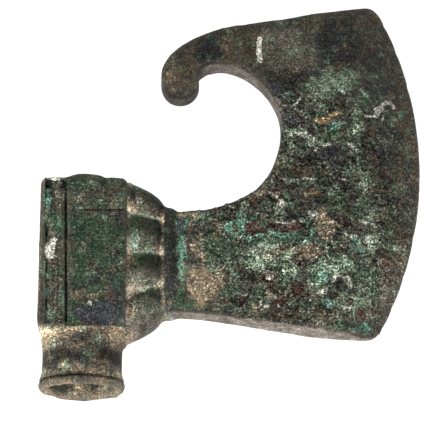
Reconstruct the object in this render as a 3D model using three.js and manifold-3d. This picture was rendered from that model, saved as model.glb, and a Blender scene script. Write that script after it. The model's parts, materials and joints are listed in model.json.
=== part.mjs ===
// Bronze shaft-hole axe head with a crescent blade, cast as one piece and corroded in the ground.
//
// The casting frame, in millimetres: Y runs along the haft's bore, X from the bore to the cutting edge and
// Z through the thickness. X = 0 is the bore's axis and Y = 0 the socket's mouth. At the end the casting is
// laid on its back face, as it rests on a table, with +Z up.

import * as THREE from 'three';
import { mergeVertices } from 'three/addons/utils/BufferGeometryUtils.js';
import Module from 'manifold-3d';

const wasm = await Module();
wasm.setup();

// Socket: a round tube with a beaded mouth, a flare and a square box with a low rim on top.
const BORE_R = 13.2;
const TUBE_R = 17.6;
const FLARE_Y = 17.5;
const BOX_TOP = 94.1;
const BOX_BOTTOM_LEFT = 24.8;
const BOX_BOTTOM_RIGHT = 26.8;
const BOX_LEFT = -18.9;
const BOX_RIGHT = 19.5;
const BOX_HALF_DEPTH = 18.2;
const BOX_CORNER_R = 2.2;
const RIM_R = 14.9;
const RIM_HEIGHT = 3.1;

// The bead round the mouth and the funnel inside it, as radius and Y.
const MOUTH_BEAD = [[17.2, 8.0], [17.9, 6.6], [18.7, 5.6], [19.3, 4.3], [19.4, 3.1], [19.1, 1.7], [18.3, 0.6],
  [17.2, 0], [15.9, 0]];
const FUNNEL = [[15.9, -0.4], [15.9, 0], [15.2, 1.0], [14.3, 3.0], [13.6, 6.0], [BORE_R, 9.5]];

// The channel along the left side of the box's front face, and the two slats that stand in it.
const CHANNEL_LEFT = -16.9;
const CHANNEL_RIGHT = -7.1;
const CHANNEL_SLANT = 1.7;
const CHANNEL_BOTTOM = 26.6;
const CHANNEL_TOP = 93.2;
const CHANNEL_DEPTH = 3.0;
const HOLLOW_Y = 89.2;
const HOLLOW_DEPTH = 5.0;
const SLATS = [
  { left: 0.8, right: 7.2, depth: 1.1 },
  { left: 7.8, right: 8.6, depth: 0.8 },
];
const CUT_PAST = 1;

// The broken rim on top: blocks cut away at a slant, as left, right, turn in degrees and place of the corner.
const BROKEN_RIM = { left: -18, right: 18, turn: 7, x: -9, above: 2.2 };
const CHIPPED_RIM = { left: 9, right: 18, turn: -12, x: 0, above: 4.2 };
const BROKEN_HEIGHT = 6;
const BROKEN_HALF_DEPTH = 20;

// Collar: four rounded lobes that fan out from the blade's neck to the box, on a plain core.
const COLLAR_END = 36.6;
const COLLAR_MIDDLE_Y = 60;
const COLLAR_FAN = 0.0165;
const COLLAR_FAN_X = 29.4;
const CORE_HALF_DEPTH = 9.8;
// The core's lower and upper side, as X, lower Y and upper Y.
const CORE_SIDES = [[18, 28.5, 91], [22, 29.5, 89.5], [34, 34, 84], [38, 35.5, 82]];
const FLANGE = { left: -1, right: 1.6, bottom: 28.8, top: 91, extraDepth: 2 };
const LOBE_POWER = 2.3;
const LOBES = [
  { y: 84.4, half: 6.9, depth: 13.8 },
  { y: 70.5, half: 8.7, depth: 15.2 },
  { y: 54.0, half: 8.6, depth: 15.4 },
  { y: 37.0, half: 9.6, depth: 14.6 },
];
// How a lobe swells and closes along X: X, share of its height, share of its depth.
const LOBE_STATIONS = [[18, 0.95, 0.9], [21.5, 0.99, 0.97], [25.5, 1, 1], [29, 1, 0.97], [32, 0.95, 0.87],
  [34.2, 0.82, 0.74], [35.7, 0.6, 0.6], [COLLAR_END, 0.25, 0.46]];
const CRACK = { x: 18.9, width: 0.9, bottom: 19, top: 27.6, depth: 11.4 };

// The bead that wraps the neck between collar and blade.
const RIB_LEFT = 36;
const RIB_RIGHT = 41.2;
const RIB_BOTTOM = 33.2;
const RIB_TOP = 84.4;
const RIB_HALF_DEPTH = 8.9;
const RIB_POWER = 6;

// Blade: the cutting edge is an arc, and the thickness depends on the distance from that arc's centre.
const EDGE_CENTRE = [-18.1, 106.2];
const EDGE_R = 169.7;
const TIP = [129.8, 183.3];
const TIP_R = 3.0;
const TOE = [127.6, 23.1];
const TOE_R = 3.0;
const BLADE_PROFILE = [[0, 13.8], [70, 14.2], [95, 14.2], [105, 14.6], [113, 15.4], [126, 17.2], [136, 18.6],
  [143, 18.9], [148, 17.8], [153, 15.2], [158, 11.6], [162, 8.2], [165.5, 5.0], [168, 2.6], [EDGE_R, 0.9]];
const BLADE_DEPTH = 24;
const BLADE_LEFT = RIB_LEFT + 2;
// The outline's curves: each ends at its last point, and the points before that bend it.
const NECK_BOTTOM = 35.2;
const NECK_TOP = 81.5;
const LOWER_EDGE = [[50, 34.9], [60, 33.3]];
const TOP_EDGE = [[116, 179.2], [100, 174.9], [69.9, 172.2]];
const CRESCENT_START = [51.0, 148.6];
const CRESCENT = [
  [[52.4, 151.7], [55.6, 152.75], [60.2, 152.75]],
  [[73.9, 152.75], [88.45, 137.5], [88.45, 122.5]],
  [[88.45, 108.5], [82.5, 95.7], [74.5, 90.7]],
  [[64.3, 84.3], [53.8, 81.5], [BLADE_LEFT, NECK_TOP]],
];

// The knob that closes the scroll at the end of the blade's upper arm.
const KNOB = [42.45, 144.0];
const KNOB_R = 8.9;
const KNOB_NECK_R = 5;
const SCROLL_BEND = [[55.5, 170.5], [KNOB[0] - KNOB_R, 161.5], [KNOB[0] - KNOB_R, KNOB[1] + 3]];
const KNOB_PROFILE = [[0, 7.9], [3, 7.75], [5.4, 7.2], [7.2, 6.2], [8.4, 4.8], [KNOB_R, 3.2]];

const ROUND_SIDES = 56;
const EDGE_SIDES = 120;
const EDGE_STEPS = 22;
const OUTLINE_STEPS = 16;
const KNOB_SIDES = 44;
const FLARE_STEPS = 7;
const RIB_STEPS = 8;
const LOBE_SIDES = 22;
const RIB_SIDES = 40;

// A closed mesh as a solid: vertices merged, collapsed triangles dropped and the faces turned outwards.
function solid(geometry) {
  const bare = new THREE.BufferGeometry();
  bare.setAttribute('position', geometry.getAttribute('position').clone());
  if (geometry.index) bare.setIndex(geometry.index.clone());
  const merged = mergeVertices(bare, 1e-4);
  const points = merged.getAttribute('position');
  const index = merged.index.array;
  const kept = [];
  const corner = [new THREE.Vector3(), new THREE.Vector3(), new THREE.Vector3()];
  let volume = 0;
  for (let i = 0; i < index.length; i += 3) {
    const triangle = [index[i], index[i + 1], index[i + 2]];
    if (new Set(triangle).size < 3) continue;
    triangle.forEach((vertex, k) => corner[k].fromBufferAttribute(points, vertex));
    volume += corner[0].dot(corner[1].clone().cross(corner[2]));
    kept.push(triangle);
  }
  const outward = volume < 0 ? kept.map(([a, b, c]) => [a, c, b]) : kept;
  const triVerts = new Uint32Array(outward.flat());
  const vertProperties = new Float32Array(points.array);
  return new wasm.Manifold(new wasm.Mesh({ numProp: 3, vertProperties, triVerts }));
}

function joined(solids) {
  return solids.reduce((whole, next) => whole.add(next));
}

// A solid through rings of points, each ring with the same count, closed flat at both ends.
function loft(rings) {
  const count = rings[0].length;
  const points = rings.flat();
  const faces = [];
  for (let r = 0; r + 1 < rings.length; r++) {
    for (let k = 0; k < count; k++) {
      const a = r * count + k;
      const b = r * count + (k + 1) % count;
      faces.push(a, b, b + count, a, b + count, a + count);
    }
  }
  const last = (rings.length - 1) * count;
  for (let k = 1; k + 1 < count; k++) {
    faces.push(0, k + 1, k, last, last + k, last + k + 1);
  }
  const geometry = new THREE.BufferGeometry().setFromPoints(points);
  geometry.setIndex(faces);
  return solid(geometry);
}

// A point of an oval: power 2 is an ellipse, and a higher power a rectangle with rounded corners.
function ovalPoint(angle, halfWidth, halfHeight, power) {
  const bend = (value) => Math.sign(value) * Math.abs(value) ** (2 / power);
  return [halfWidth * bend(Math.cos(angle)), halfHeight * bend(Math.sin(angle))];
}

function ovalRing(sides, place) {
  return Array.from({ length: sides }, (_, k) => place((2 * Math.PI * k) / sides));
}

// A flat outline in X and Y, made as thick as asked and centred on Z = 0.
function plate(outline, depth) {
  const geometry = new THREE.ExtrudeGeometry(outline, { depth, bevelEnabled: false, curveSegments: OUTLINE_STEPS });
  geometry.translate(0, 0, -depth / 2);
  return solid(geometry);
}

function block(left, right, bottom, top, back, front) {
  const geometry = new THREE.BoxGeometry(right - left, top - bottom, front - back);
  geometry.translate((left + right) / 2, (bottom + top) / 2, (back + front) / 2);
  return solid(geometry);
}

// A solid turned round the Y axis from radius and Y.
function turned(profile, sides = ROUND_SIDES) {
  return solid(new THREE.LatheGeometry(profile.map(([r, y]) => new THREE.Vector2(r, y)), sides));
}

// The blade's outline, from the neck along the lower edge, up the cutting edge and back along the top to the
// scroll, then round the crescent to the neck again.
function bladeOutline() {
  const outline = new THREE.Shape();
  const edgeAngle = (y) => Math.asin((y - EDGE_CENTRE[1]) / EDGE_R);
  const edgePoint = (angle) => [
    EDGE_CENTRE[0] + EDGE_R * Math.cos(angle),
    EDGE_CENTRE[1] + EDGE_R * Math.sin(angle),
  ];
  const toeAngle = edgeAngle(TOE[1] + TOE_R);
  const tipAngle = edgeAngle(TIP[1] - TIP_R);
  outline.moveTo(BLADE_LEFT, NECK_BOTTOM);
  outline.quadraticCurveTo(...LOWER_EDGE.flat());
  outline.lineTo(TOE[0] - TOE_R, TOE[1] + 0.4);
  outline.quadraticCurveTo(TOE[0] + TOE_R / 2, TOE[1] - 0.2, ...edgePoint(toeAngle));
  for (let k = 1; k <= EDGE_STEPS; k++) {
    outline.lineTo(...edgePoint(toeAngle + ((tipAngle - toeAngle) * k) / EDGE_STEPS));
  }
  outline.quadraticCurveTo(TIP[0] + TIP_R, TIP[1] + 0.5, TIP[0] - 1, TIP[1]);
  outline.bezierCurveTo(...TOP_EDGE.flat());
  outline.bezierCurveTo(...SCROLL_BEND.flat());
  outline.absarc(...KNOB, KNOB_NECK_R, Math.PI, 2 * Math.PI, false);
  outline.lineTo(...CRESCENT_START);
  CRESCENT.forEach((curve) => outline.bezierCurveTo(...curve.flat()));
  outline.closePath();
  return outline;
}

// The blade between its two faces, which are turned round the centre of the cutting edge's arc.
function blade() {
  const half = BLADE_PROFILE.map(([radius, thickness]) => [radius, thickness / 2]);
  const profile = [...half.map(([r, h]) => [r, -h]), ...half.reverse()];
  const points = profile.map(([r, h]) => new THREE.Vector2(r, h));
  const lens = new THREE.LatheGeometry(points, EDGE_SIDES);
  lens.rotateX(Math.PI / 2);
  lens.translate(...EDGE_CENTRE, 0);
  return plate(bladeOutline(), BLADE_DEPTH).intersect(solid(lens));
}

function knob() {
  const mirrored = [...KNOB_PROFILE].reverse().map(([r, h]) => [r, -h]);
  const points = [...KNOB_PROFILE, ...mirrored].map(([r, h]) => new THREE.Vector2(r, h));
  const disc = new THREE.LatheGeometry(points, KNOB_SIDES);
  disc.rotateX(Math.PI / 2);
  disc.translate(...KNOB, 0);
  return solid(disc);
}

function rib() {
  const middle = (RIB_BOTTOM + RIB_TOP) / 2;
  const radius = (RIB_RIGHT - RIB_LEFT) / 2;
  const rings = [];
  for (let s = 0; s <= RIB_STEPS; s++) {
    const angle = Math.PI * (s / RIB_STEPS);
    const inset = radius * 0.9 * (1 - Math.sin(angle));
    const x = RIB_LEFT + radius * (1 - Math.cos(angle));
    rings.push(ovalRing(RIB_SIDES, (turn) => {
      const [y, z] = ovalPoint(turn, (RIB_TOP - RIB_BOTTOM) / 2 - inset, RIB_HALF_DEPTH - inset, RIB_POWER);
      return new THREE.Vector3(x, middle + y, z);
    }));
  }
  return loft(rings);
}

function lobe({ y, half, depth }) {
  return loft(LOBE_STATIONS.map(([x, height, swell]) => {
    const fan = 1 + COLLAR_FAN * (COLLAR_FAN_X - x);
    const centre = COLLAR_MIDDLE_Y + (y - COLLAR_MIDDLE_Y) * fan;
    return ovalRing(LOBE_SIDES, (turn) => {
      const [up, out] = ovalPoint(turn, half * height * fan, depth * swell, LOBE_POWER);
      return new THREE.Vector3(x, centre + up, out);
    });
  }));
}

function collar() {
  const lower = CORE_SIDES.map(([x, y]) => new THREE.Vector2(x, y));
  const upper = CORE_SIDES.map(([x, , y]) => new THREE.Vector2(x, y)).reverse();
  const core = plate(new THREE.Shape([...lower, ...upper]), 2 * CORE_HALF_DEPTH);
  const halfDepth = CORE_HALF_DEPTH + FLANGE.extraDepth;
  const flange = block(BOX_RIGHT + FLANGE.left, BOX_RIGHT + FLANGE.right, FLANGE.bottom, FLANGE.top, -halfDepth,
    halfDepth);
  return joined([core, flange, ...LOBES.map(lobe)]);
}

// The box's front outline: square on top and towards the blade, its lower left corner rounded.
function boxOutline() {
  const outline = new THREE.Shape();
  outline.moveTo(BOX_LEFT + BOX_CORNER_R, BOX_BOTTOM_LEFT);
  outline.lineTo(BOX_RIGHT, BOX_BOTTOM_RIGHT);
  outline.lineTo(BOX_RIGHT, BOX_TOP);
  outline.lineTo(BOX_LEFT, BOX_TOP);
  outline.lineTo(BOX_LEFT, BOX_BOTTOM_LEFT + BOX_CORNER_R);
  outline.quadraticCurveTo(BOX_LEFT, BOX_BOTTOM_LEFT, BOX_LEFT + BOX_CORNER_R, BOX_BOTTOM_LEFT);
  return outline;
}

// The flare: square with rounded corners under the box, round where it meets the tube.
function flare() {
  const top = BOX_BOTTOM_RIGHT + 1;
  const rings = [];
  for (let s = 0; s <= FLARE_STEPS; s++) {
    const rise = s / FLARE_STEPS;
    const spread = rise ** 1.7;
    const width = TUBE_R + (-BOX_LEFT - 0.2 - TUBE_R) * spread;
    const depth = TUBE_R + (BOX_HALF_DEPTH - 0.8 - TUBE_R) * spread;
    const power = 2 + 7 * rise ** 1.5;
    rings.push(ovalRing(ROUND_SIDES, (turn) => {
      const [x, z] = ovalPoint(turn, width, depth, power);
      return new THREE.Vector3(x, FLARE_Y + (top - FLARE_Y) * rise, z);
    }));
  }
  return loft(rings);
}

// A slanted strip of the front face, between two distances from the channel's left side.
function channelStrip(left, right, bottom, top, back, front) {
  const slant = (y) => (CHANNEL_SLANT * (BOX_TOP - y)) / (BOX_TOP - CHANNEL_BOTTOM);
  const outline = new THREE.Shape();
  outline.moveTo(CHANNEL_LEFT + left + slant(bottom), bottom);
  outline.lineTo(CHANNEL_LEFT + right + slant(bottom), bottom);
  outline.lineTo(CHANNEL_LEFT + right + slant(top), top);
  outline.lineTo(CHANNEL_LEFT + left + slant(top), top);
  outline.closePath();
  const strip = plate(outline, front - back);
  return strip.translate([0, 0, (front + back) / 2]);
}

function socket() {
  const tube = turned([[0, 4], [TUBE_R, 4], [TUBE_R, FLARE_Y + 1], [0, FLARE_Y + 1]]);
  const bead = turned([[0, 8.0], ...MOUTH_BEAD, [0, 0]]);
  const box = plate(boxOutline(), 2 * BOX_HALF_DEPTH);
  const rim = turned([[0, BOX_TOP - 1], [RIM_R, BOX_TOP - 1], [RIM_R - 0.3, BOX_TOP + RIM_HEIGHT],
    [0, BOX_TOP + RIM_HEIGHT]]);
  const width = CHANNEL_RIGHT - CHANNEL_LEFT;
  const face = BOX_HALF_DEPTH;
  const channel = channelStrip(0, width, CHANNEL_BOTTOM, CHANNEL_TOP, face - CHANNEL_DEPTH,
    face + CUT_PAST);
  const hollow = channelStrip(0.2, width - 2, HOLLOW_Y, CHANNEL_TOP - 0.2, face - HOLLOW_DEPTH,
    face + CUT_PAST);
  const slats = SLATS.map(({ left, right, depth }) => channelStrip(
    left, right, CHANNEL_BOTTOM - CUT_PAST, HOLLOW_Y, face - CHANNEL_DEPTH - CUT_PAST, face - depth));
  return joined([tube, bead, flare(), joined([box.subtract(channel), ...slats]).subtract(hollow), rim]);
}

function brokenOff({ left, right, turn, x, above }) {
  const piece = block(left, right, 0, BROKEN_HEIGHT, -BROKEN_HALF_DEPTH, BROKEN_HALF_DEPTH);
  return piece.rotate([0, 0, turn]).translate([x, BOX_TOP + above, 0]);
}

// What is cut from the whole casting: the bore with its funnel, the broken rim and the crack at the collar.
function cuts() {
  const end = BOX_TOP + RIM_HEIGHT + CUT_PAST;
  const bore = turned([[0, FUNNEL[0][1]], ...FUNNEL, [BORE_R, end], [0, end]]);
  const crack = block(CRACK.x, CRACK.x + CRACK.width, CRACK.bottom, CRACK.top, BOX_HALF_DEPTH - CRACK.depth,
    BOX_HALF_DEPTH + CUT_PAST);
  return joined([bore, brokenOff(BROKEN_RIM), brokenOff(CHIPPED_RIM), crack]);
}

function axeHead() {
  const whole = joined([socket(), collar(), rib(), blade(), knob()]).subtract(cuts());
  const { vertProperties, triVerts } = whole.getMesh();
  const geometry = new THREE.BufferGeometry();
  geometry.setAttribute('position', new THREE.BufferAttribute(vertProperties, 3));
  geometry.setIndex(new THREE.BufferAttribute(triVerts, 1));
  const bronze = new THREE.MeshStandardMaterial({ color: 0x3f443a, roughness: 0.72, metalness: 0.55 });
  const mesh = new THREE.Mesh(geometry, bronze);
  mesh.name = 'axe_head';
  return mesh;
}

// Laid down at rest: it lies on the box's back edge next to the blade and on the thickest part of the blade,
// which tilts it about the bore. The origin is on the table under the middle of the casting.
const [bellyRadius, bellyThickness] = BLADE_PROFILE.reduce((most, next) => (next[1] > most[1] ? next : most));
const restDrop = BOX_HALF_DEPTH - bellyThickness / 2;
const restSpan = EDGE_CENTRE[0] + bellyRadius - BOX_RIGHT;
const group = new THREE.Group();
group.add(axeHead());
group.rotation.y = Math.atan2(restDrop, restSpan);
group.updateMatrixWorld(true);
const bounds = new THREE.Box3().setFromObject(group, true);
const middle = bounds.getCenter(new THREE.Vector3());
group.position.set(-middle.x, -middle.y, -bounds.min.z);

export default group;
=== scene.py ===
# %% [markdown]
# # A corroded bronze axe head
#
# The real thing is one bronze casting: a socket for the haft, a collar of four swollen lobes, and a broad
# crescent blade. It has lain in the ground for some three thousand years, so hardly any bare metal is left.
# Its surface is a skin of minerals: dark brown and black oxides, red cuprite, green malachite, pale turquoise
# chlorides and the tan lime of the soil.
#
# The solid comes from the CAD frame. This lesson gives it that skin in three steps: the facets are melted
# away, crust and pits are raised in the mesh itself, and a material of several patina layers is laid over it.

import json
import math
import time

import bpy
import numpy as np
from mathutils import Matrix, Vector, noise


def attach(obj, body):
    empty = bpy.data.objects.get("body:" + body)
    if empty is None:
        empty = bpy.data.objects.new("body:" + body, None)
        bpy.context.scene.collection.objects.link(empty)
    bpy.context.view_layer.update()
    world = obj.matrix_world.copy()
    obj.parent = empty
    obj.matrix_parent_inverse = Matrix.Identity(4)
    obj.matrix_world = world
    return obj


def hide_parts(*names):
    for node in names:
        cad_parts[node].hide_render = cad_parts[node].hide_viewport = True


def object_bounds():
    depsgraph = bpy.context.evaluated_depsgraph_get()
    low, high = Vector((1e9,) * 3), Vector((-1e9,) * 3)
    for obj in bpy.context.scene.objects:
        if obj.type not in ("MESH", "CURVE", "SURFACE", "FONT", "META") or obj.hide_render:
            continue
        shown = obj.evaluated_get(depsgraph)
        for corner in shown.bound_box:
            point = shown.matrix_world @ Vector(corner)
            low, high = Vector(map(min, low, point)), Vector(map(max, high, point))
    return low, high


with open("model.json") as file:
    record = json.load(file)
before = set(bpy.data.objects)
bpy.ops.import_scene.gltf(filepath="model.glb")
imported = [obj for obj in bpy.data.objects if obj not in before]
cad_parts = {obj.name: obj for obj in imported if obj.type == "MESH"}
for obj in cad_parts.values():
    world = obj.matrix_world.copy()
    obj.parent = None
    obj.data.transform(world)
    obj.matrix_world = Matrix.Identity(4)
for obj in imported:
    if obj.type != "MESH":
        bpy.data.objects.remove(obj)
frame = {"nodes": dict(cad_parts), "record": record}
cad_low, cad_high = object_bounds()
cad_head = frame["nodes"]["axe_head"]
started = time.time()


def tell(*words):
    print(f"[{time.time() - started:5.1f} s]", *words)


tell("axe head, millimetres:", [round(1000 * (high - low), 1) for low, high in zip(cad_low, cad_high)])

# %% [markdown]
# ## The casting's own frame
#
# A founder would measure this axe from its haft hole: Y along the bore from the socket's mouth, X from the
# bore towards the cutting edge and Z through the thickness, all in millimetres. Lying on a table the casting
# is tilted a little about Y, because the socket is thicker than the blade. The mesh stays in the row frame
# throughout, in metres, and whatever is measured or painted on it is done in the casting's frame.
#
# The tilt comes from the record's flat front panel, and the bore's axis from the ring of vertices at the
# mouth.

# %% From the row frame to the casting's frame and back
MILLIMETRE = 0.001


def vertex_values(mesh, name):
    flat = np.empty(len(mesh.vertices) * 3, np.float32)
    mesh.vertices.foreach_get(name, flat)
    return flat.reshape(-1, 3).astype(float)


def move_vertices(mesh, points):
    mesh.vertices.foreach_set("co", points.astype(np.float32).ravel())
    mesh.update()


panel_axis = next(m["axis"] for m in frame["record"]["mounts"] if m["name"] == "front_panel")
tilt = math.atan2(panel_axis[0], panel_axis[2])
turn = np.array(Matrix.Rotation(tilt, 3, "Y"))
cad_points = vertex_values(cad_head.data, "co")
mouth_ring = cad_points[cad_points[:, 1] < cad_points[:, 1].min() + 0.1 * MILLIMETRE]
mouth = (mouth_ring.min(0) + mouth_ring.max(0)) / 2


def in_casting(mesh):
    """The mesh's vertices and normals in the casting's frame, in millimetres."""
    points = (vertex_values(mesh, "co") - mouth) @ turn / MILLIMETRE
    return points, vertex_values(mesh, "normal") @ turn


def to_row(point):
    """A point of the casting's frame in the row frame."""
    return Vector(turn @ np.array(point, float) * MILLIMETRE + mouth)


tell("tilt on the table:", round(math.degrees(tilt), 2), "degrees; bore axis at", np.round(mouth * 1000, 2))

# %% [markdown]
# ## From facets to metal
#
# The CAD solid is made of flat facets. A voxel remesh covers it with an even net of small quads, and a
# smoothing pass then melts the facets. Plain smoothing would round the socket's corners too, so each vertex
# listens only to neighbours whose normal is close to its own. This is called bilateral smoothing: it flattens
# small steps and leaves the big ones.

# %% Remesh
SKIN_VOXEL = 0.42 * MILLIMETRE


def applied(thing, modifier):
    """The thing's mesh with the modifier applied. The modifier is taken off again."""
    shown = thing.evaluated_get(bpy.context.evaluated_depsgraph_get())
    made = bpy.data.meshes.new_from_object(shown)
    thing.modifiers.remove(modifier)
    return made


def mesh_after(thing, kind, **settings):
    """The thing's mesh after one modifier."""
    modifier = thing.modifiers.new(kind.lower(), kind)
    for key, value in settings.items():
        setattr(modifier, key, value)
    return applied(thing, modifier)


axe = bpy.data.objects.new("bronze_axe_head", cad_head.data.copy())
bpy.context.scene.collection.objects.link(axe)
axe.data.materials.clear()
axe.data = mesh_after(axe, "WELD", merge_threshold=1e-6)
axe.data = mesh_after(axe, "REMESH", mode="VOXEL", voxel_size=SKIN_VOXEL, adaptivity=0)
tell("even net:", len(axe.data.vertices), "vertices")

# %% Melt the facets
FACET_ANGLE = math.radians(18)
# The slatted channel along the left of the front face. It drifts to the right on its way down.
CHANNEL_LEFT, CHANNEL_DRIFT = -16.9, 1.7
CHANNEL_TOP, CHANNEL_LENGTH = 94.1, 67.5


def ends_of_edges(mesh):
    ends = np.empty(len(mesh.edges) * 2, np.int32)
    mesh.edges.foreach_get("vertices", ends)
    return ends.reshape(-1, 2).T


def melt(mesh, rounds, angle, free, share=0.6):
    """Bilateral smoothing: a neighbour counts less, the more its normal is turned away.

    free says for each vertex how freely it moves, from 0 to 1."""
    points = vertex_values(mesh, "co")
    count = len(points)
    here, there = ends_of_edges(mesh)
    for step in range(rounds):
        if step % 3 == 0:
            normals = vertex_values(mesh, "normal")
            turned = np.arccos(np.clip((normals[here] * normals[there]).sum(1), -1, 1))
            weight = np.exp(-((turned / angle) ** 2)) + 1e-4
            total = np.bincount(here, weight, count) + np.bincount(there, weight, count)
        for axis in range(3):
            pull = np.bincount(here, weight * points[there, axis], count)
            pull += np.bincount(there, weight * points[here, axis], count)
            points[:, axis] += share * free * (pull / total - points[:, axis])
        move_vertices(mesh, points)


def ramp(value, low, high):
    """0 at low, 1 at high and smooth in between. It falls when low is above high."""
    share = np.clip((value - low) / (high - low), 0, 1)
    return share * share * (3 - 2 * share)


def channel_zone(points):
    """1 in the slatted channel, and each vertex's distance from the channel's left side."""
    x, y, z = points.T
    from_left = x - CHANNEL_LEFT - CHANNEL_DRIFT * (CHANNEL_TOP - y) / CHANNEL_LENGTH
    inside = ramp(from_left, -0.6, -0.2) * ramp(from_left, 10.4, 10.0)
    inside = inside * ramp(y, 26, 26.3) * ramp(y, 94, 93.6)
    return inside * ramp(z, 12, 12.5), from_left


in_channel, _ = channel_zone(in_casting(axe.data)[0])
melt(axe.data, rounds=70, angle=FACET_ANGLE, free=1 - in_channel)
tell("melted")

# %% [markdown]
# ## Where each mineral grew
#
# A corroded bronze isn't evenly green. Each mineral has its places: smooth brown where the metal was polished
# and dense, tan between the lobes, partly lime and partly painted light, blistered green where water stood.
# On the collar, green and black on the lobes' upper halves are painted shade. So every finish gets a mask, a
# number from 0 to 1 at each vertex. It has a low general level, which the material later breaks up into a
# sprinkle. It is raised in named places: ovals for patches, bent strokes for veins.

# %% Noise for natural outlines
def cloud(points, size, seed, octaves=3):
    """Soft noise from about -1 to 1, with lumps of the given size in millimetres."""
    shifted = (points / size + np.array([seed * 7.13, seed * -3.71, seed * 5.29])).tolist()
    return np.array([noise.fractal(p, 0.9, 2.1, octaves) for p in shifted])


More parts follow.
